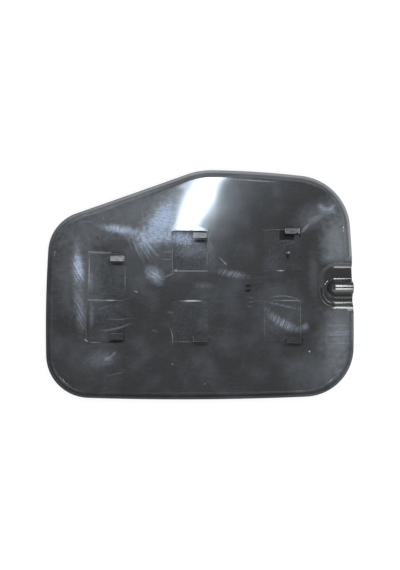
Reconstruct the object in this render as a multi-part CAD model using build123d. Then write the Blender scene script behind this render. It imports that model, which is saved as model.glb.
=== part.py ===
"""Car fuel door panel: one injection moulding of gloss black plastic.

The panel lies on its crowned outer face with the inner, hook side up.
X runs along the panel's length, Y up its height and Z from the outer face to the inner one.
The origin is under the middle of the panel, where the crown touches the ground.
"""
import math
import os

from build123d import *

# Driving dimensions, in millimetres

# Outline: five sides, all but one slightly bowed, with rounded corners
panel_length = 190.0
panel_height = 144.0
bottom_bow = 2.4
right_bow = 2.8
top_bow = 2.1
left_bow = 2.0
bottom_lean = 0.6
right_lean = 0.2
left_lean = 0.7
slope_drop = 34.0
slope_end = 0.7
top_fall = 8.2
bottom_left_radius = 27.0
bottom_right_radius = 31.0
top_right_radius = 34.0
peak_radius = 47.0
top_left_radius = 26.0

# Section: an even wall, crowned both ways, with a low rim round its edge
wall = 2.8
crown_radius_along = 2400.0
crown_radius_up = 1600.0
rim_height = 1.7
rim_width = 1.3
rim_outer_round = 0.8
rim_inner_round = 0.7
rim_root_radius = 3.0
edge_round = 2.6

# Six pads in one plane, where the flat hinge plate seats
seat_lift = 0.45
pad_length = 22.4
pad_height = 25.6
pad_corner_radius = 2.8
pad_edge_slope = 35.0
left_pads_from_edge = 25.8
right_pads_from_pull = 11.6
middle_pads_shift = -3.0
lower_pads_from_edge = 35.4
upper_pads_from_edge = 38.6
upper_left_pad_drop = 14.3

# Six hooks that hold the hinge plate's tabs down on the pads
hook_length = 9.0
hook_leg = 1.5
hook_reach = 2.2
hook_lip = 1.8
hook_top_slope = 6.0
hook_back_draft = 8.0
plate_thickness = 2.0
plate_clearance = 0.3
hook_corner_round = 0.7
hook_tip_round = 0.4
hook_lead_in = 0.6
upper_left_hook_set_in = 2.3
upper_middle_hook_set_in = 1.8
upper_right_hook_set_out = 0.8
lower_left_hook_set_in = 1.0
lower_middle_hook_set_out = 0.4
lower_right_hook_set_out = 1.2
chip_length = 2.6
chip_depth = 0.8
chip_from_end = 0.7

# Catch for the hinge plate: two ramped teeth with steep ends
tooth_length = 3.6
tooth_width = 1.1
tooth_height = 1.5
tooth_pitch = 3.0
teeth_from_pull = 42.3
teeth_below_pull = 1.9

# Locating pin on the upper right pad, and the gate mark near the lower right corner
pin_diameter = 1.8
pin_height = 4.4
pin_top_round = 0.4
pin_from_pad_end = 7.1
pin_from_pad_top = 15.0
gate_mark_diameter = 1.3
gate_mark_height = 0.4
gate_mark_from_right = 28.1
gate_mark_from_bottom = 29.6

# Edge pull: a scoop open to the right edge with a round ridge down its middle
pull_length = 21.1
pull_width = 28.6
pull_centre_y = -1.4
pull_depth = 1.4
pull_wall_radius = 5.0
pull_lip_radius = 2.2
pull_lip_slope = 8.0
pull_lip_rise = 0.3
rim_end_slope = 35.0
pull_corner_radius = 10.0
ridge_below_centre = 2.0
ridge_radius = 4.4
ridge_height = 5.4
ridge_skirt_radius = 2.2
ridge_length = 15.5
ridge_wall = 2.0
ridge_end_round = 0.7
ridge_seam_width = 0.5
ridge_seam_depth = 0.25
groove_edge_round = 0.8

# Working values that follow from the sizes above
half_length = panel_length / 2
half_height = panel_height / 2
seat_z = wall + seat_lift
throat = plate_thickness + plate_clearance
hook_top = throat + hook_lip
root_depth = wall / 2
past_edge = panel_length / 5
above_all = wall + rim_height + ridge_height + hook_top + past_edge
pull_left = half_length - pull_length
left_pads_x = -half_length + left_pads_from_edge + pad_length / 2
right_pads_x = pull_left - right_pads_from_pull - pad_length / 2
middle_pads_x = (left_pads_x + right_pads_x) / 2 + middle_pads_shift
lower_pads_y = -half_height + lower_pads_from_edge + pad_height / 2
upper_pads_y = half_height - upper_pads_from_edge - pad_height / 2
upper_left_pad_y = upper_pads_y - upper_left_pad_drop


def inner_face_z(x, y):
    """Height of the crowned inner face over a point of the plan."""
    height_along = crown_radius_along - math.sqrt((crown_radius_along - wall) ** 2 - x**2)
    return crown_radius_up - math.sqrt((crown_radius_up - height_along) ** 2 - y**2)


def bowed_side(start, end, bow):
    """One side of the outline: an arc that stands out from its chord by the bow."""
    chord = end - start
    outward = Vector(chord.Y, -chord.X).normalized()
    return ThreePointArc(start, (start + end) / 2 + outward * bow, end)


def outline():
    """The panel's plan, with its sides bowed and its corners rounded."""
    bottom_left = Vector(-half_length + left_bow + left_lean, -half_height + bottom_bow - bottom_lean)
    bottom_right = Vector(half_length - right_bow + right_lean, -half_height + bottom_bow + bottom_lean)
    top_right = Vector(half_length - right_bow - right_lean, half_height - top_fall)
    peak = Vector(-slope_end, half_height)
    top_left = Vector(-half_length + left_bow - left_lean, half_height - slope_drop)
    plan = make_face(
        [
            bowed_side(bottom_left, bottom_right, bottom_bow),
            bowed_side(bottom_right, top_right, right_bow),
            bowed_side(top_right, peak, top_bow),
            Line(peak, top_left),
            bowed_side(top_left, bottom_left, left_bow),
        ]
    )
    corners = [
        (bottom_left, bottom_left_radius),
        (bottom_right, bottom_right_radius),
        (top_right, top_right_radius),
        (peak, peak_radius),
        (top_left, top_left_radius),
    ]
    for corner, radius in corners:
        plan = fillet(plan.vertices().sort_by_distance(corner)[0], radius)
    return plan


def column(plan):
    """A plan drawn up and down through the whole height of the panel."""
    return extrude(Pos(0, 0, -past_edge) * plan, past_edge + above_all)


def crown_space(height):
    """Everything above the crowned surface that lies this height inside the outer face."""
    reach = half_length + past_edge
    radius = crown_radius_along - height
    end_z = crown_radius_along - math.sqrt(radius**2 - reach**2)
    section = make_face(
        [
            ThreePointArc((-reach, 0, end_z), (0, 0, height), (reach, 0, end_z)),
            Line((reach, 0, end_z), (reach, 0, above_all)),
            Line((reach, 0, above_all), (-reach, 0, above_all)),
            Line((-reach, 0, above_all), (-reach, 0, end_z)),
        ]
    )
    swing = math.degrees((half_height + past_edge) / (crown_radius_up - above_all))
    axis = Axis((0, 0, crown_radius_up), (1, 0, 0))
    return revolve(section.rotate(axis, -swing), axis, 2 * swing)


def broad_faces(solid):
    """The two largest faces of a slab, the lower one first."""
    return solid.faces().sort_by(SortBy.AREA)[-2:].sort_by(Axis.Z)


def rounded_slab(plan, height):
    """A slab of the panel's plan on its crowned outer face, with that face's edge rounded."""
    slab = column(plan) & crown_space(0) - crown_space(height)
    return fillet(broad_faces(slab)[0].edges(), edge_round)


def rimmed_shell(plan):
    """The crowned wall with its rim: a rounded slab, hollowed to an even wall."""
    slab = rounded_slab(plan, wall + rim_height)
    slab = fillet(broad_faces(slab)[1].edges(), rim_outer_round)
    hollow = column(offset(plan, -rim_width)) & crown_space(wall)
    hollow = fillet(broad_faces(hollow)[0].edges(), rim_root_radius)
    shell = slab - hollow
    rim_top = shell.faces().filter_by(lambda face: len(face.inner_wires()) > 0)[0]
    return fillet(rim_top.inner_wires()[0].edges(), rim_inner_round)


def hinge_pad(x, y, round_corners):
    """One seat for the hinge plate, flat, with sloped edges: what it adds and what it clears."""
    seat = Rectangle(pad_length, pad_height)
    for side, end in round_corners:
        corner = Vector(side * pad_length / 2, end * pad_height / 2)
        seat = fillet(seat.vertices().sort_by_distance(corner)[0], pad_corner_radius)
    seat = Pos(x, y, seat_z) * seat
    raised = extrude(seat, root_depth, dir=(0, 0, -1), taper=pad_edge_slope - 90)
    cleared = extrude(seat, root_depth, dir=(0, 0, 1), taper=pad_edge_slope - 90)
    return raised, cleared


def hook(right_end, outer_y, inward):
    """One hook on a pad: a drafted leg with a lip that points inward over the plate's tab."""
    reach = hook_leg + hook_reach
    back_top = hook_top - reach * math.tan(math.radians(hook_top_slope))
    back_foot = (back_top + root_depth) * math.tan(math.radians(hook_back_draft))
    section = [
        Vector(-back_foot, -root_depth),
        Vector(0, back_top),
        Vector(reach, hook_top),
        Vector(reach, throat),
        Vector(hook_leg, throat),
        Vector(hook_leg, -root_depth),
    ]
    profile = make_face(Polyline(*section, close=True))
    rounds = [hook_corner_round, hook_tip_round, hook_tip_round, hook_tip_round]
    for corner, radius in zip(section[1:5], rounds):
        profile = fillet(profile.vertices().sort_by_distance(corner)[0], radius)
    left_end = right_end - hook_length
    stand = Plane(origin=(left_end, outer_y, seat_z), x_dir=(0, inward, 0), z_dir=(inward, 0, 0))
    body = extrude(stand * profile, inward * hook_length)
    lead_in = make_face(
        Polyline(
            (left_end - hook_lead_in, 0, seat_z + throat - hook_lead_in),
            (left_end - hook_lead_in, 0, seat_z + throat + 2 * hook_lead_in),
            (left_end + 2 * hook_lead_in, 0, seat_z + throat - hook_lead_in),
            close=True,
        )
    )
    lip_y = outer_y + inward * hook_leg
    return body - extrude(Pos(0, lip_y, 0) * lead_in, 2 * hook_reach, dir=(0, inward, 0))


def lip_chip(right_end, outer_y):
    """The bit that has broken from the tip of one upper hook's lip, near its right end."""
    tip_y = outer_y - hook_leg - hook_reach
    chip_right = right_end - chip_from_end
    broken = make_face(
        Polyline(
            (chip_right - chip_length, tip_y),
            (chip_right - chip_length / 3, tip_y + chip_depth),
            (chip_right, tip_y + chip_depth / 2),
            (chip_right, tip_y - chip_depth),
            (chip_right - chip_length, tip_y - chip_depth),
            close=True,
        )
    )
    return extrude(Pos(0, 0, seat_z + throat / 2) * broken, hook_top)


def catch_tooth(y):
    """One tooth of the catch: it ramps up towards the pull and ends in a steep face."""
    steep_x = pull_left - teeth_from_pull
    low_z = inner_face_z(steep_x, y)
    ramp = make_face(
        Polyline(
            (steep_x - tooth_length, 0, low_z),
            (steep_x, 0, low_z + tooth_height),
            (steep_x, 0, low_z - root_depth),
            (steep_x - tooth_length, 0, low_z - root_depth),
            close=True,
        )
    )
    return extrude(Pos(0, y, 0) * ramp, tooth_width / 2, both=True)


def locating_pin():
    """The small round pin on the upper right pad."""
    x = right_pads_x + pad_length / 2 - pin_from_pad_end
    y = upper_pads_y + pad_height / 2 - pin_from_pad_top
    pin = extrude(Circle(pin_diameter / 2), root_depth + pin_height)
    pin = fillet(pin.edges().sort_by(Axis.Z)[-1], pin_top_round)
    return Pos(x, y, seat_z - root_depth) * pin


def gate_mark():
    """The low round mark that the gate leaves."""
    x = half_length - gate_mark_from_right
    y = -half_height + gate_mark_from_bottom
    mark = extrude(Circle(gate_mark_diameter / 2), root_depth + gate_mark_height)
    return Pos(x, y, inner_face_z(x, y) - root_depth) * mark


# The pull has its own frame, flush with the inner face and tipped with the crown
pull_middle_x = half_length - pull_length / 2
pull_tip = math.asin(pull_middle_x / (crown_radius_along - wall))
pull_frame = Plane(
    origin=(pull_middle_x, pull_centre_y, inner_face_z(pull_middle_x, pull_centre_y)),
    x_dir=(math.cos(pull_tip), 0, math.sin(pull_tip)),
    z_dir=(-math.sin(pull_tip), 0, math.cos(pull_tip)),
)
nose_x = pull_length / 2 - ridge_length + ridge_radius
ridge_centre_z = -pull_depth + ridge_height - ridge_radius


def pull_scoop():
    """What the scoop clears: a tray open past the right edge, with walls that curve up and roll over."""
    radii = pull_wall_radius + pull_lip_radius
    steepest = math.acos(1 - pull_depth / radii)
    run = radii * math.sin(steepest)
    share = pull_wall_radius / radii
    lip_slope = math.radians(pull_lip_slope)
    lip = Vector(run - pull_lip_radius * math.sin(lip_slope), pull_lip_radius * (math.cos(lip_slope) - 1))
    lip_end = lip + Vector((pull_lip_rise - lip.Y) / math.tan(lip_slope), pull_lip_rise - lip.Y)
    rim_end = lip_end + Vector(rim_height / math.tan(math.radians(rim_end_slope)), rim_height)
    join = Vector(run * share, -pull_depth * (1 - share))
    wall_section = make_face(
        [
            RadiusArc((0, -pull_depth), join, -pull_wall_radius),
            RadiusArc(join, lip, pull_lip_radius),
            Polyline(lip, lip_end, rim_end, (rim_end.X, above_all), (0, above_all), (0, -pull_depth)),
        ]
    )
    left = -pull_length / 2 + run
    right = pull_length / 2 + past_edge
    half_width = pull_width / 2 - run
    corners = [(right, -half_width), (left, -half_width), (left, half_width), (right, half_width)]
    foot = FilletPolyline(*corners, radius=pull_corner_radius - run)
    start = Plane(origin=(right, -half_width, 0), x_dir=(0, -1, 0), z_dir=(-1, 0, 0))
    walls = sweep(start * wall_section, path=foot)
    tray = make_face([foot, Line(corners[-1], corners[0])])
    return pull_frame * (walls + extrude(Pos(0, 0, -pull_depth) * tray, pull_depth + above_all))


def run_with_nose(half_section):
    """A form with a rounded nose that runs past the right edge, made from half of its section."""
    upright = Plane.YZ.offset(nose_x) * half_section
    run = extrude(upright, pull_length + past_edge)
    nose = revolve(upright, Axis((nose_x, 0, 0), (0, 0, 1)), 180)
    return pull_frame * Pos(0, -ridge_below_centre, 0) * (run + mirror(run, Plane.XZ) + nose)


def pull_ridge():
    """The round ridge in the scoop, with skirts that run out on the scoop's floor."""
    floor_z = -pull_depth
    root_z = (floor_z - wall) / 2
    skirt_rise = floor_z + ridge_skirt_radius - ridge_centre_z
    skirt_foot = math.sqrt((ridge_radius + ridge_skirt_radius) ** 2 - skirt_rise**2)
    share = ridge_radius / (ridge_radius + ridge_skirt_radius)
    crest = (0, floor_z + ridge_height)
    join = (skirt_foot * share, ridge_centre_z + skirt_rise * share)
    half_section = make_face(
        [
            RadiusArc(crest, join, ridge_radius),
            RadiusArc(join, (skirt_foot, floor_z), -ridge_skirt_radius),
            Polyline((skirt_foot, floor_z), (skirt_foot, root_z), (0, root_z), crest),
        ]
    )
    return run_with_nose(half_section)


def pull_groove():
    """The groove that cores the ridge from the outer face, with a rounded mouth."""
    half_width = ridge_radius - ridge_wall
    top = (0, ridge_centre_z + half_width)
    mouth_z = -wall
    below_z = mouth_z - past_edge
    mouth_half = half_width + groove_edge_round
    half_section = make_face(
        [
            RadiusArc(top, (half_width, ridge_centre_z), half_width),
            Line((half_width, ridge_centre_z), (half_width, mouth_z + groove_edge_round)),
            RadiusArc((half_width, mouth_z + groove_edge_round), (mouth_half, mouth_z), -groove_edge_round),
            Polyline((mouth_half, mouth_z), (mouth_half, below_z), (0, below_z), top),
        ]
    )
    return run_with_nose(half_section)


def ridge_seam():
    """The fine line that the two halves of the tool leave along the ridge's crest."""
    length = pull_length + past_edge
    depth = 2 * ridge_seam_depth
    crest = Pos(nose_x + length / 2, -ridge_below_centre, ridge_centre_z + ridge_radius)
    return pull_frame * crest * Box(length, ridge_seam_width, depth)


plan = outline()
panel = rimmed_shell(plan)

pads = [
    hinge_pad(left_pads_x, upper_left_pad_y, []),
    hinge_pad(middle_pads_x, upper_pads_y, [(-1, 1)]),
    hinge_pad(right_pads_x, upper_pads_y, []),
    hinge_pad(left_pads_x, lower_pads_y, [(1, 1), (1, -1)]),
    hinge_pad(middle_pads_x, lower_pads_y, [(-1, -1)]),
    hinge_pad(right_pads_x, lower_pads_y, [(-1, 1), (1, 1)]),
]
for raised, cleared in pads:
    panel = panel + raised - cleared

panel = panel - pull_scoop()
ridge = pull_ridge() & column(plan)
ridge_end = ridge.faces().sort_by(Axis.X)[-1]
ridge = fillet(ridge_end.edges().sort_by(Axis.Z)[-3:], ridge_end_round)
panel = panel + (ridge & rounded_slab(plan, wall + rim_height + ridge_height))
panel = panel - pull_groove() - ridge_seam()

upper_edge = upper_pads_y + pad_height / 2
lower_edge = lower_pads_y - pad_height / 2
hooks = [
    (left_pads_x, upper_edge - upper_left_pad_drop - upper_left_hook_set_in, -1),
    (middle_pads_x, upper_edge - upper_middle_hook_set_in, -1),
    (right_pads_x, upper_edge + upper_right_hook_set_out, -1),
    (left_pads_x, lower_edge + lower_left_hook_set_in, 1),
    (middle_pads_x, lower_edge - lower_middle_hook_set_out, 1),
    (right_pads_x, lower_edge - lower_right_hook_set_out, 1),
]
for pads_x, outer_y, inward in hooks:
    panel = panel + hook(pads_x + pad_length / 2, outer_y, inward)
panel = panel - lip_chip(right_pads_x + pad_length / 2, upper_edge + upper_right_hook_set_out)

teeth_y = pull_centre_y - teeth_below_pull
for side in (-1, 1):
    panel = panel + catch_tooth(teeth_y + side * tooth_pitch / 2)
panel = panel + locating_pin() + gate_mark()

os.makedirs("parts", exist_ok=True)
export_step(panel, "parts/fuel_door_panel.step")
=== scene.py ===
import math

import bpy
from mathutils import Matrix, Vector

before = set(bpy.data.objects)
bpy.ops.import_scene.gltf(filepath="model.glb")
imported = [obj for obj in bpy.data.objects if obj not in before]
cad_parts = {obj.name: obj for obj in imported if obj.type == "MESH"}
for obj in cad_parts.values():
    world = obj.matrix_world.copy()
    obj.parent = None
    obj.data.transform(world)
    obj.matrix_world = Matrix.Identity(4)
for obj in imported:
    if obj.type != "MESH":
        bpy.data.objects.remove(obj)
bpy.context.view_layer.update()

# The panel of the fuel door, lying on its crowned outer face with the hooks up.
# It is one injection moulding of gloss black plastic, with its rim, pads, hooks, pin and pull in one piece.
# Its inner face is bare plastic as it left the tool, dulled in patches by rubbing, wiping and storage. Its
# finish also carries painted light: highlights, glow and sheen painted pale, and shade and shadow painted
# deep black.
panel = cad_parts["fuel_door_panel"]


def add_node(tree, kind, **settings):
    """A new node of this kind with the given settings."""
    node = tree.nodes.new(kind)
    for name, value in settings.items():
        setattr(node, name, value)
    return node


def feed(tree, socket, source):
    """Links a source to a socket, or sets the socket to a fixed value."""
    if isinstance(source, bpy.types.NodeSocket):
        tree.links.new(source, socket)
    else:
        socket.default_value = source


def calc(tree, operation, *sources):
    """The result of one math node."""
    node = add_node(tree, "ShaderNodeMath", operation=operation)
    for socket, source in zip(node.inputs, sources):
        feed(tree, socket, source)
    return node.outputs["Value"]


def ramp(tree, source, low, high, to_low=0.0, to_high=1.0):
    """A smooth step of a value: from to_low at low up to to_high at high."""
    node = add_node(tree, "ShaderNodeMapRange", interpolation_type="SMOOTHSTEP")
    feed(tree, node.inputs["Value"], source)
    feed(tree, node.inputs["From Min"], low)
    feed(tree, node.inputs["From Max"], high)
    feed(tree, node.inputs["To Min"], to_low)
    feed(tree, node.inputs["To Max"], to_high)
    return node.outputs["Result"]


def noise(tree, vector, scale, detail, roughness=0.5):
    """A cloud of noise at a vector, as a value from 0 to 1."""
    node = add_node(tree, "ShaderNodeTexNoise")
    feed(tree, node.inputs["Vector"], vector)
    feed(tree, node.inputs["Scale"], scale)
    feed(tree, node.inputs["Detail"], detail)
    feed(tree, node.inputs["Roughness"], roughness)
    return node.outputs["Fac"]


def parts_of(tree, vector):
    """The x, y and z of a vector."""
    node = add_node(tree, "ShaderNodeSeparateXYZ")
    feed(tree, node.inputs["Vector"], vector)
    return node.outputs["X"], node.outputs["Y"], node.outputs["Z"]


def vector_of(tree, x, y, z=0.0):
    """A vector made of its x, y and z."""
    node = add_node(tree, "ShaderNodeCombineXYZ")
    feed(tree, node.inputs["X"], x)
    feed(tree, node.inputs["Y"], y)
    feed(tree, node.inputs["Z"], z)
    return node.outputs["Vector"]


def new_group(name, inputs, output):
    """An empty node group of plain values: its tree, its inputs by name and its one output."""
    tree = bpy.data.node_groups.new(name, "ShaderNodeTree")
    for label in inputs:
        tree.interface.new_socket(label, in_out="INPUT", socket_type="NodeSocketFloat")
    tree.interface.new_socket(output, in_out="OUTPUT", socket_type="NodeSocketFloat")
    start = add_node(tree, "NodeGroupInput")
    end = add_node(tree, "NodeGroupOutput")
    return tree, start.outputs, end.inputs[output]


def place_group(tree, group, label, values):
    """One use of a group, with its inputs linked or set."""
    node = add_node(tree, "ShaderNodeGroup", node_tree=group, label=label)
    for name, value in values.items():
        feed(tree, node.inputs[name], value)
    return node.outputs[0]


def turned(tree, x, y, angle):
    """A point of the plan seen in axes that are turned by an angle."""
    cosine = calc(tree, "COSINE", angle)
    sine = calc(tree, "SINE", angle)
    x_new = calc(tree, "MULTIPLY_ADD", x, cosine, calc(tree, "MULTIPLY", y, sine))
    y_new = calc(tree, "SUBTRACT", calc(tree, "MULTIPLY", y, cosine), calc(tree, "MULTIPLY", x, sine))
    return x_new, y_new


def soft_oval(tree, inputs):
    """A soft oval of a mark's size, bent along its length, with the place along and across it."""
    ragged_share = 0.5
    full_within = 0.15
    from_x = calc(tree, "SUBTRACT", inputs["Here X"], inputs["X"])
    from_y = calc(tree, "SUBTRACT", inputs["Here Y"], inputs["Y"])
    along, across = turned(tree, from_x, from_y, inputs["Angle"])
    half_length = calc(tree, "MULTIPLY", inputs["Length"], 0.5)
    half_width = calc(tree, "MULTIPLY", inputs["Width"], 0.5)
    share_along = calc(tree, "DIVIDE", along, half_length)
    square_along = calc(tree, "MULTIPLY", share_along, share_along)
    across = calc(tree, "SUBTRACT", across, calc(tree, "MULTIPLY", inputs["Bend"], square_along))
    share_across = calc(tree, "DIVIDE", across, half_width)
    squares = calc(tree, "MULTIPLY_ADD", share_across, share_across, square_along)
    reach = calc(tree, "MULTIPLY_ADD", inputs["Ragged"], ragged_share, calc(tree, "SQRT", squares))
    return ramp(tree, reach, 1.0, full_within), along, across


def laid_over(tree, mark, under):
    """A mark laid over the marks that are there already."""
    room_left = calc(tree, "SUBTRACT", 1.0, under)
    return calc(tree, "MULTIPLY_ADD", mark, room_left, under)


# Soft mark: a plain soft oval.
here_fields = ["Here X", "Here Y", "Ragged", "Under"]
oval_fields = ["X", "Y", "Angle", "Length", "Width", "Bend"]
soft_fields = oval_fields + ["Strength"]
soft_mark, soft_in, soft_out = new_group("soft_mark", here_fields + soft_fields, "Mask")
oval, _, _ = soft_oval(soft_mark, soft_in)
mark = calc(soft_mark, "MULTIPLY", oval, soft_in["Strength"])
feed(soft_mark, soft_out, laid_over(soft_mark, mark, soft_in["Under"]))

# Rub mark: a soft oval made of fine strokes, which wander a little.
stroke_wander = 1.5
stroke_detail = 1.0
stroke_roughness = 0.6
rub_fields = oval_fields + ["Stroke Turn", "Stroke Pitch", "Stroke Depth", "Strength"]
rub_mark, rub_in, rub_out = new_group("rub_mark", here_fields + rub_fields, "Mask")
oval, along, across = soft_oval(rub_mark, rub_in)
_, stroke_across = turned(rub_mark, along, across, rub_in["Stroke Turn"])
stroke_place = calc(rub_mark, "DIVIDE", stroke_across, rub_in["Stroke Pitch"])
stroke_place = calc(rub_mark, "MULTIPLY_ADD", rub_in["Ragged"], stroke_wander, stroke_place)
stroke_noise = add_node(rub_mark, "ShaderNodeTexNoise", noise_dimensions="1D")
feed(rub_mark, stroke_noise.inputs["W"], stroke_place)
stroke_noise.inputs["Scale"].default_value = 1.0
stroke_noise.inputs["Detail"].default_value = stroke_detail
stroke_noise.inputs["Roughness"].default_value = stroke_roughness
strokes = ramp(rub_mark, stroke_noise.outputs["Fac"], 0.33, 0.67)
bare = calc(rub_mark, "SUBTRACT", 1.0, rub_in["Stroke Depth"])
strokes = calc(rub_mark, "MULTIPLY_ADD", strokes, rub_in["Stroke Depth"], bare)
mark = calc(rub_mark, "MULTIPLY", calc(rub_mark, "MULTIPLY", oval, strokes), rub_in["Strength"])
feed(rub_mark, rub_out, laid_over(rub_mark, mark, rub_in["Under"]))

# Flat seat: one flat of the moulding, such as a pad or the top of a hook.
# It is soft by a fraction of a millimetre at its edges.
seat_fields = ["Here X", "Here Y", "Under", "X", "Y", "Length", "Width"]
soft_outside = -0.1
soft_inside = 0.3
flat_seat, seat_in, seat_out = new_group("flat_seat", seat_fields, "Mask")
inside = []
for here, middle, size in (("Here X", "X", "Length"), ("Here Y", "Y", "Width")):
    away = calc(flat_seat, "ABSOLUTE", calc(flat_seat, "SUBTRACT", seat_in[here], seat_in[middle]))
    half_size = calc(flat_seat, "MULTIPLY", seat_in[size], 0.5)
    depth = calc(flat_seat, "SUBTRACT", half_size, away)
    inside.append(ramp(flat_seat, depth, soft_outside, soft_inside))
seat = calc(flat_seat, "MULTIPLY", *inside)
feed(flat_seat, seat_out, calc(flat_seat, "MAXIMUM", seat, seat_in["Under"]))

panel_black = bpy.data.materials.new("scuffed_gloss_black")
panel_black.use_nodes = True
finish = panel_black.node_tree
plastic = finish.nodes["Principled BSDF"]
plastic.inputs["IOR"].default_value = 1.28
plastic.inputs["Coat Roughness"].default_value = 0.058
plastic.inputs["Coat IOR"].default_value = 1.5

# Every place in the finish is in millimetres in the panel's own frame.
# A little ragged noise breaks up the edges of the marks.
mm_per_metre = 1000.0
place = add_node(finish, "ShaderNodeTexCoord")
to_mm = add_node(finish, "ShaderNodeVectorMath", operation="SCALE")
feed(finish, to_mm.inputs["Vector"], place.outputs["Object"])
to_mm.inputs["Scale"].default_value = mm_per_metre
point = to_mm.outputs["Vector"]
here_x, here_y, height = parts_of(finish, point)
ragged = calc(finish, "SUBTRACT", noise(finish, point, scale=0.35, detail=2.0), 0.5)


def lay_marks(group, fields, marks):
    """The marks of a list laid one over the other, as one mask."""
    mask = 0.0
    for name, *numbers in marks:
        values = dict(zip(fields, numbers))
        for angle in {"Angle", "Stroke Turn"} & set(fields):
            values[angle] = math.radians(values[angle])
        values.update({"Here X": here_x, "Here Y": here_y, "Ragged": ragged, "Under": mask})
        mask = place_group(finish, group, name, values)
    return mask


# Bloom and sheen: broad smooth paler patches. Some are polish and dust dried on the skin; those beside the
# highlight and along the right side also carry painted sheen, standing in for reflected light.
# Each soft mark: name, x, y, angle, length, width, bend, strength.
bloom_and_sheen_marks = [
    ("bloom round the long rub", -75, 8, 97, 84, 46, 0, 0.12),
    ("bloom and painted sheen under the slope", -56, 40, 20, 100, 36, 0, 0.12),
    ("bloom and painted sheen along the right edge", 89, -11, 90, 190, 30, 0, 0.14),
    ("bloom and painted sheen above the pull", 84, 26, 85, 50, 26, 0, 0.13),
    ("bloom and painted sheen below the pull", 83, -31, 80, 50, 28, 0, 0.1),
    ("bloom and painted sheen left of the pull", 71, 5, 90, 46, 10, 0, 0.06),
    ("bloom and painted sheen in the upper right corner", 74, 44, 30, 46, 22, 0, 0.12),
    ("bloom and painted sheen in the lower right corner", 71, -55, 20, 54, 40, 0, 0.09),
    ("bloom round the lower right pad", 51.5, -18, 90, 48, 38, 0, 0.05),
    ("bloom in the lower left corner", -67, -45.5, 0, 54, 50, 0, 0.04),
    ("bloom round the fan", -44, 15, -60, 60, 40, 0, 0.06),
    ("bloom and painted sheen beside the highlight", -36, 44, 40, 60, 32, 0, 0.07),
]
bloom_and_sheen = lay_marks(soft_mark, soft_fields, bloom_and_sheen_marks)
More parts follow.
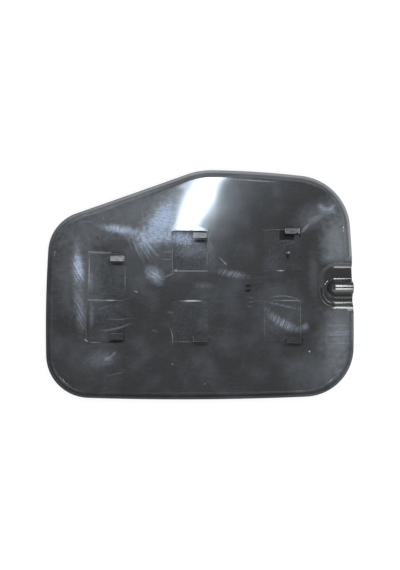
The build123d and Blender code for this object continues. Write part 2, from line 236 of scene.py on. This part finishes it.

# Hazy marks, where the gloss is rubbed dull in fine strokes. Their cold pale blue is partly painted glow;
# the veil beside the highlight is painted glow over a rub, and the pale top of the upper middle pad is a
# painted reflection of the strip lamp.
# Each rub mark: name, x, y, angle, length, width, bend,
# stroke turn, stroke pitch, stroke depth, strength.
haze_and_glow_marks = [
    ("painted lamp reflection on the upper middle pad's top", -9.5, 28.5, -4, 30, 13, 0, 40, 0.7, 0.12, 0.7),
    ("long rub beside the left pads, head", -76.0, 9.5, 97, 33, 11.5, 0, 23, 0.65, 0.75, 1.0),
    ("long rub beside the left pads, core", -75.3, 11, 97, 20, 7, 0, 23, 0.65, 0.5, 0.8),
    ("long rub beside the left pads, tail", -74.5, -14.5, 97, 44, 9, 0, 23, 0.65, 0.8, 0.55),
    ("long rub beside the left pads, top", -76.5, 23, 97, 20, 7, 0, 23, 0.9, 0.6, 0.25),
    ("cross rub over the left pads", -51, 34.2, -8, 32, 8, 0, 85, 0.7, 0.25, 0.8),
    ("cross rub, right end", -37, 30.5, -6, 38, 14, 0, 70, 0.7, 0.35, 0.45),
    ("fan of wipe strokes", -35, 26, -56, 30, 20, 1.5, 0, 1.0, 0.8, 0.4),
    ("rub with painted glow beside the highlight", -24, 40, 57, 54, 25, 0, -70, 0.6, 0.3, 1.0),
    ("rubbed middle of the upper middle pad", -6, 22, 0, 36, 18, 0, 30, 0.8, 0.15, 0.3),
    ("rub with painted glow, foot", -21.5, 29.5, 0, 24, 12, 0, -50, 0.7, 0.35, 0.45),
    ("round rub under the fan", -28, 5, -45, 20, 13, 0, 10, 0.55, 0.5, 0.7),
    ("cloud at the lower left", -60, -47.4, 5, 26, 15, 0, 30, 1.0, 0.4, 0.25),
    ("cloud, core", -56.4, -47, 20, 8, 4, 0, 0, 1.0, 0.3, 0.45),
    ("cloud, tail", -53, -44.5, 45, 6, 2.5, 0, 0, 1.0, 0.3, 0.35),
    ("wing rub, left", 76.5, 48.2, -42, 7.5, 4, 0, 0, 1.0, 0.3, 0.5),
    ("wing rub, right", 83.5, 48.2, 55, 7.5, 4, 0, 0, 1.0, 0.3, 0.5),
    ("wing rub, middle", 80.2, 46.2, 0, 15, 7, 0, 0, 1.0, 0.3, 0.5),
    ("smear over the right hook, low", 66.3, 34.8, 48, 12, 2.8, 0, 0, 1.0, 0.3, 0.5),
    ("smear over the right hook, high", 73, 40.8, 30, 16, 6, 0, 0, 1.0, 0.3, 0.3),
    ("dull patch above the pull", 83.5, 23.8, 85, 42, 22, 0, 90, 1.6, 0.4, 0.15),
    ("dull patch below the pull", 85.5, -33, 0, 26, 24, 0, 0, 1.4, 0.9, 0.35),
    ("dull patch at the lower right", 83.7, -50, 60, 36, 24, 0, -60, 1.6, 0.5, 0.12),
    ("zigzag rub in the middle", 20, 5.8, -10, 28, 6.5, 0, 65, 1.0, 0.9, 0.5),
    ("blot beside the lower right pad", 65, -27.2, 30, 6.5, 5.5, 0, 0, 1.0, 0.3, 0.5),
    ("chatter on the lower right pad", 51.8, -25.6, -28, 38, 8, 5, 95, 0.9, 0.85, 0.6),
    ("line on the lower right pad", 51.8, -14.2, -13, 31, 2.2, 0, 60, 0.9, 0.8, 0.35),
    ("upper arc on the lower left pad", -60.8, -15.9, 19, 13, 1.2, 0, 0, 1.0, 0.2, 0.2),
    ("middle arc on the lower left pad", -50, -22.8, 2, 23, 1.3, 0.6, 0, 1.0, 0.4, 0.22),
    ("lower arc on the lower left pad", -51.5, -28.5, 14, 27, 2.0, 2, 0, 1.0, 0.4, 0.4),
    ("dull strip on the lower left pad", -67, -21, 90, 20, 4.5, 0, 20, 1.0, 0.4, 0.22),
    ("dull strip on the upper left pad", -68, 2, 92, 20, 4, 0, 20, 1.0, 0.4, 0.22),
    ("haze between the middle pads", 2.5, -1.5, 0, 18, 6, 0, 80, 1.0, 0.7, 0.2),
    ("dashes left of the lower middle pad", -28, -30, -20, 6, 1.6, 0, 0, 1.0, 0.3, 0.2),
    ("fuzz on the lower middle pad's edge", -18, -18.5, 0, 6, 2.5, 0, 0, 1.0, 0.3, 0.22),
    ("spot above the pull", 80, 15.6, 40, 4.5, 3, 0, 0, 1.0, 0.3, 0.3),
    ("first stroke of the fan", -44, 25.5, -72, 12, 0.7, 0.4, 0, 1.0, 0.2, 0.4),
    ("second stroke of the fan", -40.5, 23, -70, 20, 0.7, 0.8, 0, 1.0, 0.2, 0.5),
    ("third stroke of the fan", -38.5, 19.5, -68, 24, 0.7, 0.9, 0, 1.0, 0.2, 0.45),
    ("fourth stroke of the fan", -36.5, 22.5, -64, 22, 0.7, 0.9, 0, 1.0, 0.2, 0.55),
    ("fifth stroke of the fan", -33.5, 22, -62, 22, 0.7, 0.9, 0, 1.0, 0.2, 0.5),
    ("sixth stroke of the fan", -31.5, 23.5, -58, 20, 0.7, 0.8, 0, 1.0, 0.2, 0.5),
    ("seventh stroke of the fan", -29.5, 21.5, -52, 18, 0.7, 0.6, 0, 1.0, 0.2, 0.45),
    ("eighth stroke of the fan", -36, 16.5, -70, 16, 0.6, 0.6, 0, 1.0, 0.2, 0.35),
    ("ninth stroke of the fan", -33, 17.5, -66, 16, 0.6, 0.6, 0, 1.0, 0.2, 0.35),
    ("arc in the upper left corner", -71, 39, -3, 14, 1.1, -2.8, 0, 1.0, 0.2, 0.22),
    ("faint upright wipe", -36, 44, 92, 14, 2, 0, 0, 1.0, 0.2, 0.12),
]
haze_and_glow = lay_marks(rub_mark, rub_fields, haze_and_glow_marks)

# Pale marks: scratches and specks that show the pale plastic under the skin, and painted highlights: the
# light lines along the pad and hook edges, the glints on pad edges and corners, the light top of the pin,
# the glint at the lower right and the line along the top edge.
# They are soft marks.
scrape_and_highlight_marks = [
    ("left edge of the upper left pad", -69.1, 6.5, 90, 33, 0.9, 0, 0.48),
    ("bottom edge of the upper left pad", -60, -6.8, 0, 26, 0.8, 0, 0.14),
    ("right edge of the upper left pad", -46.6, 2.4, 90, 20, 0.8, 0, 0.24),
    ("top edge of the upper left pad", -60, 18.8, 0, 26, 0.9, 0, 0.15),
    ("top edge of the lower left pad", -58, -11.1, 0, 28, 0.8, 0, 0.15),
    ("painted glint on the lower left pad's top edge", -55.8, -10.9, 0, 8, 1.1, 0, 0.63),
    ("left edge of the upper middle pad", -17.3, 15.5, 90, 29, 0.8, 0, 0.28),
    ("bottom edge of the upper middle pad", -6, 7.7, 0, 30, 0.7, 0, 0.32),
    ("right edge of the upper middle pad", 4.5, 15.5, 90, 16, 0.8, 0, 0.2),
    ("top edge of the lower middle pad", -5, -11.2, 0, 17, 1.6, 0, 1),
    ("lower left corner of the lower middle pad", -16.9, -33.2, 97, 14, 0.9, 1.6, 0.32),
    ("bottom edge of the lower middle pad", -10, -36.7, 0, 24, 0.8, 0, 0.16),
    ("left edge of the lower right pad", 39.9, -25, 90, 32, 0.8, 0, 0.1),
    ("right edge of the lower right pad", 62.3, -23, 90, 30, 0.8, 0, 0.17),
    ("top edge of the lower right pad", 54.4, -11.1, -1, 23, 0.9, 0, 0.27),
    ("arc over the lower right pad", 52.4, -8.2, -3, 26, 1.1, -3.6, 0.24),
    ("bottom edge of the upper right pad", 50.2, 7.8, 0, 6.5, 1.0, 0, 0.8),
    ("inner edge of the lower left hook", -51.3, -32.0, 0, 14, 0.7, 0, 0.32),
    ("inner edge of the lower middle hook", 0.8, -33.2, 0, 14, 0.7, 0, 0.48),
    ("inner edge of the lower right hook", 57.8, -34.0, 0, 14, 0.7, 0, 0.32),
    ("painted glint at the lower right", 67.2, -42.8, 0, 1.7, 1.6, 0, 0.9),
    ("painted highlight on the top of the pin", 55.2, 18.6, 0, 2.6, 2.4, 0, 0.5),
    ("corner scratch, short", -70, -36, -36, 4, 1.0, 0, 0.63),
    ("corner scratch, long", -64.8, -37.1, 0, 10, 0.9, 0, 0.45),
    ("low scratch", -51.5, -56.5, 12, 16, 0.9, 0, 0.14),
    ("dash in the upper left corner", -72.5, 43, 7, 4.5, 0.9, 0, 0.18),
    ("tick under the slope", -60.5, 41, -60, 3.5, 0.9, 0, 0.18),
    ("double speck", -39.5, -5.5, -20, 3.4, 1.4, 0, 0.45),
    ("speck below the middle", -16.8, -50.5, 0, 1.3, 1.2, 0, 0.5),
    ("speck at the bottom", 3, -62.5, 0, 1.2, 1.1, 0, 0.35),
    ("scratch to the upper middle pad", -19, 5, 27, 9.5, 1.0, 0, 0.27),
    ("painted glint on the upper middle pad's corner", -15, 8, 0, 3, 2, 0, 0.45),
    ("scratch right of the upper middle pad", 14, 14.4, -45, 8, 1.0, 0, 0.27),
    ("end of that scratch", 15.8, 12.5, -45, 3.5, 1.3, 0, 0.41),
    ("upper wipe line", -20.5, 19.6, 0, 11, 0.8, 0, 0.18),
    ("lower wipe line", -21, 15, 0, 11, 0.8, 0, 0.18),
    ("first dash by the catch", 31.6, -9, 4, 6, 0.8, 0, 0.14),
    ("second dash by the catch", 31.6, -12, 4, 6, 0.8, 0, 0.14),
    ("third dash by the catch", 31, -14.6, 4, 6, 0.8, 0, 0.14),
    ("painted highlight along the top edge", 33, 65.6, -4, 44, 1.3, 0, 0.41),
]
scrapes_and_highlights = lay_marks(soft_mark, soft_fields, scrape_and_highlight_marks)

# Shade marks: painted shade and shadow under and behind the hooks, at the catch teeth, below the pin and
# along some pad edges, where the skin is also dull.
# They are soft marks.
shade_marks = [
    ("under the upper middle hook", 0.3, 26.6, 0, 15, 3.0, 0, 0.9),
    ("behind the upper middle hook", 0.2, 32.3, 0, 13, 1.3, 0, 0.9),
    ("under the upper left hook", -51.2, 11.9, 0, 15, 3.0, 0, 0.9),
    ("behind the lower left hook", -51.3, -36.4, 0, 15, 2.6, 0, 0.8),
    ("behind the lower middle hook", 0.8, -38.4, 0, 16, 2.6, 0, 0.7),
    ("behind the lower right hook", 57.6, -38.5, 0, 17, 3.0, 0, 0.7),
    ("upper catch tooth", 29.8, -1.8, 0, 6.5, 2.4, 0, 1),
    ("lower catch tooth", 29.8, -4.8, 0, 6.5, 2.4, 0, 1),
    ("foot of the pin", 55.0, 16.4, 90, 7, 4, 0, 0.8),
    ("top edge of the upper middle pad", -7, 33.0, 0, 24, 1.0, 0, 0.6),
    ("rounded corner of the upper middle pad", -16.8, 32.6, 45, 7.5, 1.2, -2.6, 0.9),
    ("left edge of the lower left pad", -69.3, -24, 90, 42, 1.6, 0, 0.55),
    ("top edge of the upper right pad", 46, 33.2, 0, 26, 1.6, 0, 0.8),
]
painted_shade = lay_marks(soft_mark, soft_fields, shade_marks)


def lay_seat(name, x, y, length, width, under=0.0):
    """The mask of one flat of the moulding, together with the masks that are there already."""
    return place_group(finish, flat_seat, name, {
        "Here X": here_x, "Here Y": here_y, "Under": under,
        "X": x, "Y": y, "Length": length, "Width": width,
    })


# Painted shadow at the foot of the upper right hook, below and beside its chipped lip, as black as the
# shade marks.
foot_top = 5.0
foot_blur = 0.5
hook_foot_shadow = lay_seat("painted shadow at the foot of the upper right hook", 54.6, 30.6, 9.4, 6.8)
low_down = ramp(finish, height, foot_top + foot_blur, foot_top - foot_blur)
hook_foot_shadow = calc(finish, "MULTIPLY", hook_foot_shadow, low_down)
painted_shade = calc(finish, "MAXIMUM", painted_shade, hook_foot_shadow)

# The hooks are dull on top. The upper ones carry a painted highlight along their tops, streaked along their
# length and weakest on the right one, and the lower ones carry painted shade.
# Each hook: name, x, y.
hook_length = 9.0
hook_width = 3.9
hook_top = 6.85
hook_top_blur = 0.1
hooks = [
    ("upper left hook", -51.3, 14.95),
    ("upper middle hook", 0.25, 29.75),
    ("upper right hook", 57.8, 32.35),
    ("lower left hook", -51.3, -33.65),
    ("lower middle hook", 0.8, -35.05),
    ("lower right hook", 57.8, -35.85),
]
on_hook = 0.0
for name, x, y in hooks:
    on_hook = lay_seat(name, x, y, hook_length, hook_width, on_hook)
on_top = ramp(finish, height, hook_top - hook_top_blur, hook_top + hook_top_blur)
on_hook = calc(finish, "MULTIPLY", on_hook, on_top)
streak_along = 0.25
streak_across = 1.6
least_highlight = 0.15
most_highlight = 0.75
right_hook_share = 0.45
lower_hook_shade = 0.2
row_split = 5.0
streak_place = vector_of(
    finish,
    calc(finish, "MULTIPLY", here_x, streak_along),
    calc(finish, "MULTIPLY", here_y, streak_across),
)
streak_noise = noise(finish, streak_place, scale=1.0, detail=2.0)
hook_top_highlight = ramp(finish, streak_noise, 0.3, 0.7, least_highlight, most_highlight)
right_share = ramp(finish, here_x, 40.0, 50.0, 1.0, right_hook_share)
hook_top_highlight = calc(finish, "MULTIPLY", hook_top_highlight, right_share)
hook_top_highlight = calc(finish, "MULTIPLY", hook_top_highlight, ramp(finish, here_y, -row_split, row_split))
hook_shade = ramp(finish, here_y, row_split, -row_split, 0.0, lower_hook_shade)
hook_shade = calc(finish, "MULTIPLY", on_hook, hook_shade)
painted_shade = calc(finish, "MAXIMUM", painted_shade, hook_shade)
scrapes_and_highlights = calc(finish, "MAXIMUM", scrapes_and_highlights, calc(finish, "MULTIPLY", on_hook, hook_top_highlight))

# The rise of a place over the crowned inner face, which tells the inner side and the rim from the rest.
wall = 2.8
crown_radius_along = 2400.0
crown_radius_up = 1600.0
crown_along = calc(finish, "DIVIDE", calc(finish, "MULTIPLY", here_x, here_x), 2 * crown_radius_along)
crown_up = calc(finish, "DIVIDE", calc(finish, "MULTIPLY", here_y, here_y), 2 * crown_radius_up)
face_height = calc(finish, "ADD", crown_along, crown_up)
rise = calc(finish, "SUBTRACT", calc(finish, "SUBTRACT", height, wall), face_height)
inner_side = ramp(finish, rise, -1.6, -0.8)

# The inside of the pull is touched by fingers alone, so it has no wipe lines and no haze.
pull_middle = -1.4
pull_away = calc(finish, "ABSOLUTE", calc(finish, "SUBTRACT", here_y, pull_middle))
pull_inward = ramp(finish, here_x, 71.0, 79.0)
pull_across = ramp(finish, pull_away, 17.0, 11.0)
in_pull = calc(finish, "MULTIPLY", pull_inward, pull_across)
out_of_pull = calc(finish, "SUBTRACT", 1.0, in_pull)

# The rim is rubbed dull from its foot up. Its crest carries a painted highlight and its foot a painted
# sheen, standing in for reflected light; both grow towards the top and the right.
slope_x = -0.34
slope_y = 0.94
up_slope = calc(finish, "MULTIPLY_ADD", here_x, slope_x, calc(finish, "MULTIPLY", here_y, slope_y))
beside_pads = ramp(finish, calc(finish, "ABSOLUTE", here_x), 66.0, 88.0)
above_hooks = ramp(finish, here_y, 41.0, 63.0)
along_slope = ramp(finish, up_slope, 46.0, 64.0)
below_hooks = ramp(finish, here_y, -42.0, -64.0)
rim_zone = beside_pads
for zone in (above_hooks, along_slope, below_hooks):
    rim_zone = calc(finish, "MAXIMUM", rim_zone, zone)
rim_zone = calc(finish, "MULTIPLY", rim_zone, out_of_pull)
rim_foot = -0.02
fully_dull = 0.04
rim_dullness = 0.88
dull_rim = ramp(finish, rise, rim_foot, fully_dull, 0.0, rim_dullness)
dull_rim = calc(finish, "MULTIPLY", dull_rim, rim_zone)
rim_light_in_middle = 0.25
rim_light_per_mm_up = 0.012
rim_light_per_mm_right = 0.0035
rim_light_share = calc(finish, "MULTIPLY_ADD", here_y, rim_light_per_mm_up, rim_light_in_middle)
rim_light_share = calc(finish, "MULTIPLY_ADD", here_x, rim_light_per_mm_right, rim_light_share)
rim_light_share = ramp(finish, rim_light_share, 0.0, 1.0)
rim_highlight_strength = 0.4
rim_highlight = calc(finish, "MULTIPLY", ramp(finish, rise, 0.7, 1.6), rim_zone)
rim_highlight = calc(finish, "MULTIPLY", rim_highlight, rim_light_share)
rim_highlight = calc(finish, "MULTIPLY", rim_highlight, rim_highlight_strength)
scrapes_and_highlights = calc(finish, "MAXIMUM", scrapes_and_highlights, rim_highlight)
full_sheen_rise = 0.13
least_foot_sheen = 0.004
lit_foot_sheen = 0.10
foot_sheen_share = calc(finish, "MULTIPLY_ADD", rim_light_share, lit_foot_sheen, least_foot_sheen)
rim_foot_sheen = calc(finish, "MULTIPLY", ramp(finish, rise, rim_foot, full_sheen_rise), rim_zone)
rim_foot_sheen = calc(finish, "MULTIPLY", rim_foot_sheen, foot_sheen_share)
bloom_and_sheen = calc(finish, "ADD", bloom_and_sheen, rim_foot_sheen)


def dull_seats(seats):
    """The flats of a list, each with its own dullness, as one mask."""
    mask = 0.0
    for name, x, y, length, width, dullness in seats:
        seat = lay_seat(name, x, y, length, width)
        mask = calc(finish, "MULTIPLY_ADD", seat, dullness, mask)
    return mask


# The six pads are cut with a fine cutter in the tool, so they are duller than the polished face round them.
# Each pad: name, x, y, dullness.
pad_length = 22.4
pad_width = 25.6
pads = [
    ("upper left pad", -58.0, 6.3, 0.45),
    ("upper middle pad", -6.4, 20.6, 1.0),
    ("upper right pad", 51.1, 20.6, 0.3),
    ("lower left pad", -58.0, -23.8, 0.45),
    ("lower middle pad", -6.4, -23.8, 0.45),
    ("lower right pad", 51.1, -23.8, 0.35),
]
on_pad = dull_seats([(name, x, y, pad_length, pad_width, dullness) for name, x, y, dullness in pads])

# The pull's edges are rubbed by fingers: its upper lip and lower wall are dull, its bends are half glossy,
# and its lower lip is nearly glossy.
# Each zone: name, x, y, length, width, dullness.
pull_lips = [
    ("upper lip of the pull", 85.0, 12.7, 26.0, 2.6, 0.95),
    ("upper bend of the pull", 85.0, 10.3, 26.0, 2.2, 0.5),
    ("lower lip of the pull", 87.0, -15.2, 22.0, 4.0, 0.2),
]
pull_walls = [
    ("lower wall of the pull", 86.0, -9.6, 24.0, 3.6, 0.85),
    ("lower bend of the pull", 86.0, -12.6, 24.0, 2.4, 0.4),
]
dull_lip = dull_seats(pull_lips)
dull_wall = dull_seats(pull_walls)

# Wipe lines and mottle: fine lines along the panel, specks in the rubbed places, broad faint clouds,
# and a fine grain that shows most on the pads.
wipe_along = 0.06
wipe_across = 1.4
wipe_up = 0.3
wipe_place = vector_of(
    finish,
    calc(finish, "MULTIPLY", here_x, wipe_along),
    calc(finish, "MULTIPLY", here_y, wipe_across),
    calc(finish, "MULTIPLY", height, wipe_up),
)
wipe_noise = noise(finish, wipe_place, scale=1.0, detail=3.0, roughness=0.65)
wipes = calc(finish, "MULTIPLY", ramp(finish, wipe_noise, 0.45, 0.80), out_of_pull)
least_mottle = 0.8
most_mottle = 1.15
mottle_noise = noise(finish, point, scale=1.1, detail=2.0)
mottle = ramp(finish, mottle_noise, 0.28, 0.72, least_mottle, most_mottle)
clouds = ramp(finish, noise(finish, point, scale=0.07, detail=3.0), 0.4, 0.75)
grain = ramp(finish, mottle_noise, 0.45, 0.75)
cloud_haze = 0.09
wipe_haze = 0.03
face_grain = 0.03
pad_grain = 0.12
grain_haze = calc(finish, "MULTIPLY_ADD", on_pad, pad_grain, face_grain)
haze_and_glow = calc(finish, "MULTIPLY", haze_and_glow, mottle)
haze_and_glow = calc(finish, "MULTIPLY_ADD", clouds, cloud_haze, haze_and_glow)
haze_and_glow = calc(finish, "MULTIPLY_ADD", wipes, wipe_haze, haze_and_glow)
haze_and_glow = calc(finish, "MULTIPLY_ADD", grain, grain_haze, haze_and_glow)

# Swirls: faint arcs of hairlines left by wiping, in patches, each set round a centre of its own.
swirl_centres = [(-75.0, 75.0), (30.0, 120.0)]
lines_outward = 1.1
lines_round = 5.0
patch_scale = 0.045
swirl_haze = 0.075
hairlines = 0.0
for centre_x, centre_y in swirl_centres:
    off_x = calc(finish, "SUBTRACT", here_x, centre_x)
    off_y = calc(finish, "SUBTRACT", centre_y, here_y)
    squares = calc(finish, "MULTIPLY_ADD", off_x, off_x, calc(finish, "MULTIPLY", off_y, off_y))
    swirl_place = vector_of(
        finish,
        calc(finish, "MULTIPLY", calc(finish, "SQRT", squares), lines_outward),
        calc(finish, "MULTIPLY", calc(finish, "ARCTAN2", off_x, off_y), lines_round),
        centre_x,
    )
    line_noise = noise(finish, swirl_place, scale=1.0, detail=2.0, roughness=0.6)
    lines = ramp(finish, line_noise, 0.55, 0.78)
    patch_place = vector_of(finish, here_x, here_y, centre_y)
    patch = ramp(finish, noise(finish, patch_place, patch_scale, detail=1.0), 0.42, 0.62)
    hairlines = calc(finish, "MULTIPLY_ADD", lines, patch, hairlines)
haze_and_glow = calc(finish, "MULTIPLY_ADD", hairlines, swirl_haze, haze_and_glow)

# The wear and the painted light are on the inner side alone, and cloths, dust, the painted glow and the
# painted sheen stay out of the pull.
worn_zone = calc(finish, "MULTIPLY", inner_side, out_of_pull)
haze_and_glow = calc(finish, "MULTIPLY", haze_and_glow, worn_zone)
bloom_and_sheen = calc(finish, "MULTIPLY", bloom_and_sheen, worn_zone)
scrapes_and_highlights = calc(finish, "MULTIPLY", scrapes_and_highlights, inner_side)
painted_shade = calc(finish, "MULTIPLY", painted_shade, inner_side)

# Colour: black plastic that turns to a cold haze where it is rubbed, whose pale cold blue beside the
# highlight is a painted glow; to a pale grey where it blooms and at the painted sheen; to deep black at the
# painted shade; and to a plain pale grey where it is scraped and at the painted highlights.
plastic_black = (0.0215, 0.0222, 0.0238, 1.0)
rubbed_grey = (0.115, 0.130, 0.155, 1.0)
haze_and_glow_white = (0.330, 0.415, 0.560, 1.0)
bloom_and_sheen_grey = (0.39, 0.43, 0.475, 1.0)
scrape_and_highlight_grey = (0.40, 0.41, 0.43, 1.0)
shade_black = (0.004, 0.004, 0.004, 1.0)
grey_at = 0.45
pad_bloom = 0.010
haze_and_glow_colour = add_node(finish, "ShaderNodeValToRGB")
haze_and_glow_colour.color_ramp.elements[0].color = plastic_black
haze_and_glow_colour.color_ramp.elements[1].color = haze_and_glow_white
middle_stop = haze_and_glow_colour.color_ramp.elements.new(grey_at)
middle_stop.color = rubbed_grey
feed(finish, haze_and_glow_colour.inputs["Fac"], haze_and_glow)


def blend_colour(tree, share, first, second):
    """One colour turned into another by a share."""
    node = add_node(tree, "ShaderNodeMix", data_type="RGBA")
    feed(tree, node.inputs["Factor"], share)
    colour_sockets = [socket for socket in node.inputs if socket.type == "RGBA"]
    for socket, source in zip(colour_sockets, (first, second)):
        feed(tree, socket, source)
    return next(socket for socket in node.outputs if socket.type == "RGBA")


bloom_and_sheen = calc(finish, "MULTIPLY_ADD", on_pad, pad_bloom, bloom_and_sheen)
skin = blend_colour(finish, bloom_and_sheen, haze_and_glow_colour.outputs["Color"], bloom_and_sheen_grey)
skin = blend_colour(finish, painted_shade, skin, shade_black)
skin = blend_colour(finish, scrapes_and_highlights, skin, scrape_and_highlight_grey)
feed(finish, plastic.inputs["Base Color"], skin)

# Gloss: a clear skin over a faintly hazy one.
# The pads, the rim, the hooks, the rubbed and scraped places and the places of painted highlight and
# painted shade have lost the clear skin.
# Each dulling: where it is, and the roughness that it adds.
base_roughness = 0.105
dulling = [
    (on_pad, 0.22),
    (haze_and_glow, 0.18),
    (scrapes_and_highlights, 0.18),
    (dull_lip, 0.1),
    (dull_wall, 0.2),
    (dull_rim, 0.2),
    (on_hook, 0.3),
]
shade_dulling = 1.5
wipe_loss = 0.25
roughness = base_roughness
dulled = painted_shade
for mask, dullness in dulling:
    roughness = calc(finish, "MULTIPLY_ADD", mask, dullness, roughness)
    dulled = calc(finish, "MAXIMUM", dulled, mask)
shade_roughness_share = calc(finish, "MULTIPLY_ADD", painted_shade, shade_dulling, 1.0)
feed(finish, plastic.inputs["Roughness"], calc(finish, "MULTIPLY", roughness, shade_roughness_share))
gloss = calc(finish, "SUBTRACT", 1.0, dulled)
gloss = calc(finish, "MULTIPLY_ADD", wipes, -wipe_loss, gloss)
feed(finish, plastic.inputs["Coat Weight"], calc(finish, "MAXIMUM", gloss, 0.0))

# Surface: the wipe lines and the mottle are about a thousandth of a millimetre deep.
surface_depth = 0.000001
surface = add_node(finish, "ShaderNodeBump")
surface.inputs["Strength"].default_value = 1.0
surface.inputs["Distance"].default_value = surface_depth
feed(finish, surface.inputs["Height"], calc(finish, "ADD", wipes, mottle_noise))
feed(finish, plastic.inputs["Normal"], surface.outputs["Normal"])

panel.data.materials.clear()
panel.data.materials.append(panel_black)

# The table under the panel: a plain white sheet, wider than the view.
# It shows white to the camera and keeps the panel's soft shadow.
table_side = 12.0
sheet_grey = (0.30, 0.30, 0.30, 1.0)
sheet_roughness = 0.9
sheet_glow = 0.74
half_side = table_side / 2
table_corners = [
    (-half_side, -half_side, 0),
    (half_side, -half_side, 0),
    (half_side, half_side, 0),
    (-half_side, half_side, 0),
]
table_mesh = bpy.data.meshes.new("table_sheet")
table_mesh.from_pydata(table_corners, [], [(0, 1, 2, 3)])
table = bpy.data.objects.new("table_sheet", table_mesh)
bpy.context.scene.collection.objects.link(table)
table_white = bpy.data.materials.new("table_white")
table_white.use_nodes = True
sheet = table_white.node_tree
paper = sheet.nodes["Principled BSDF"]
paper.inputs["Base Color"].default_value = sheet_grey
paper.inputs["Roughness"].default_value = sheet_roughness
paper.inputs["Emission Color"].default_value = (1.0, 1.0, 1.0, 1.0)
rays = add_node(sheet, "ShaderNodeLightPath")
seen = calc(sheet, "MAXIMUM", rays.outputs["Is Camera Ray"], rays.outputs["Is Glossy Ray"])
seen = calc(sheet, "MAXIMUM", seen, rays.outputs["Is Transmission Ray"])
feed(sheet, paper.inputs["Emission Strength"], calc(sheet, "MULTIPLY", seen, sheet_glow))
table_mesh.materials.append(table_white)

# The room: a dim ceiling and paler walls, a little paler at the right and palest in front.
# The walls darken towards the floor.
ceiling_light = 0.33
wall_light = 0.62
right_wall_gain = 0.1
front_wall_gain = 1.5
low_wall_share = 0.25
world = bpy.data.worlds.new("pale_room")
bpy.context.scene.world = world
world.use_nodes = True
room = world.node_tree
background = room.nodes["Background"]
background.inputs["Color"].default_value = (1.0, 1.0, 1.0, 1.0)
look = add_node(room, "ShaderNodeTexCoord")
to_right, to_back, to_top = parts_of(room, look.outputs["Generated"])
to_front = calc(room, "MULTIPLY", to_back, -1.0)
walls = calc(room, "MULTIPLY_ADD", to_right, right_wall_gain, wall_light)
front_wall = calc(room, "MULTIPLY", ramp(room, to_front, 0.2, 0.8), front_wall_gain)
walls = calc(room, "ADD", walls, front_wall)
walls = calc(room, "MULTIPLY", walls, ramp(room, to_top, 0.1, 0.5, low_wall_share, 1.0))
dome = add_node(room, "ShaderNodeMix", data_type="FLOAT")
feed(room, dome.inputs["Factor"], ramp(room, to_top, 0.86, 0.955))
feed(room, dome.inputs["A"], walls)
feed(room, dome.inputs["B"], ceiling_light)
feed(room, background.inputs["Strength"], dome.outputs["Result"])


def area_lamp(name, size_x, size_y, radiance, location, aim, spin=0.0, shape="RECTANGLE"):
    """A flat lamp of even brightness that faces a point."""
    lamp = bpy.data.lights.new(name, "AREA")
    lamp.shape = shape
    lamp.size = size_x
    lamp.size_y = size_y
    filled_share = math.pi / 4 if shape == "ELLIPSE" else 1.0
    lamp.energy = math.pi * radiance * size_x * size_y * filled_share
    holder = bpy.data.objects.new(name, lamp)
    bpy.context.scene.collection.objects.link(holder)
    holder.location = location
    facing = Vector(aim) - Vector(location)
    holder.rotation_euler = facing.to_track_quat("-Z", "Y").to_euler()
    holder.rotation_euler.rotate_axis("Z", math.radians(spin))
    return holder


# The lamps: an oval strip lamp, which makes the highlight at the top, and a strip lamp in front.
# Two narrow soft boxes hang in line with the pull, behind and in front, and a wide one hangs at the right.
lamp_height = 1.0
strip_lamp = area_lamp(
    "strip_lamp",
    size_x=0.029,
    size_y=0.110,
    radiance=65.0,
    location=(0.0034, 0.2495, lamp_height),
    aim=(-0.003, 0.053, 0.003),
    spin=-34,
    shape="ELLIPSE",
)
strip_lamp.data.color = (0.74, 0.87, 1.0)
# Each of the others faces straight down: name, size across, size along, radiance, x, y.
hanging_lamps = [
    ("back_soft_box", 0.06, 0.80, 16.0, 0.18, 0.75),
    ("front_strip_lamp", 0.03, 0.30, 14.0, 0.017, -0.17),
    ("wide_soft_box", 0.60, 0.60, 4.0, 0.75, 0.70),
    ("front_soft_box", 0.06, 0.50, 12.0, 0.18, -0.42),
]
for name, size_x, size_y, radiance, x, y in hanging_lamps:
    area_lamp(name, size_x, size_y, radiance, (x, y, lamp_height), (x, y, 0.0))

# The camera looks down on the panel, tipped nine degrees from straight above towards its bottom edge.
# Its lens gives the panel the size that it has in the photograph's frame.
camera_target = Vector((0.00008, -0.00140, 0.00403))
camera_distance = 0.5544
camera_tip = math.radians(9.0)
sensor_width = 36.0
picture_height = 570
metres_per_pixel = 0.0006216
camera_data = bpy.data.cameras.new("camera")
camera_data.sensor_width = sensor_width
camera_data.lens = sensor_width * camera_distance / (picture_height * metres_per_pixel)
camera = bpy.data.objects.new("camera", camera_data)
bpy.context.scene.collection.objects.link(camera)
camera_side = Vector((0, -math.sin(camera_tip), math.cos(camera_tip)))
camera.location = camera_target + camera_distance * camera_side
camera.rotation_euler = (camera_tip, 0, 0)
bpy.context.scene.camera = camera
bpy.context.scene.view_settings.view_transform = "Standard"
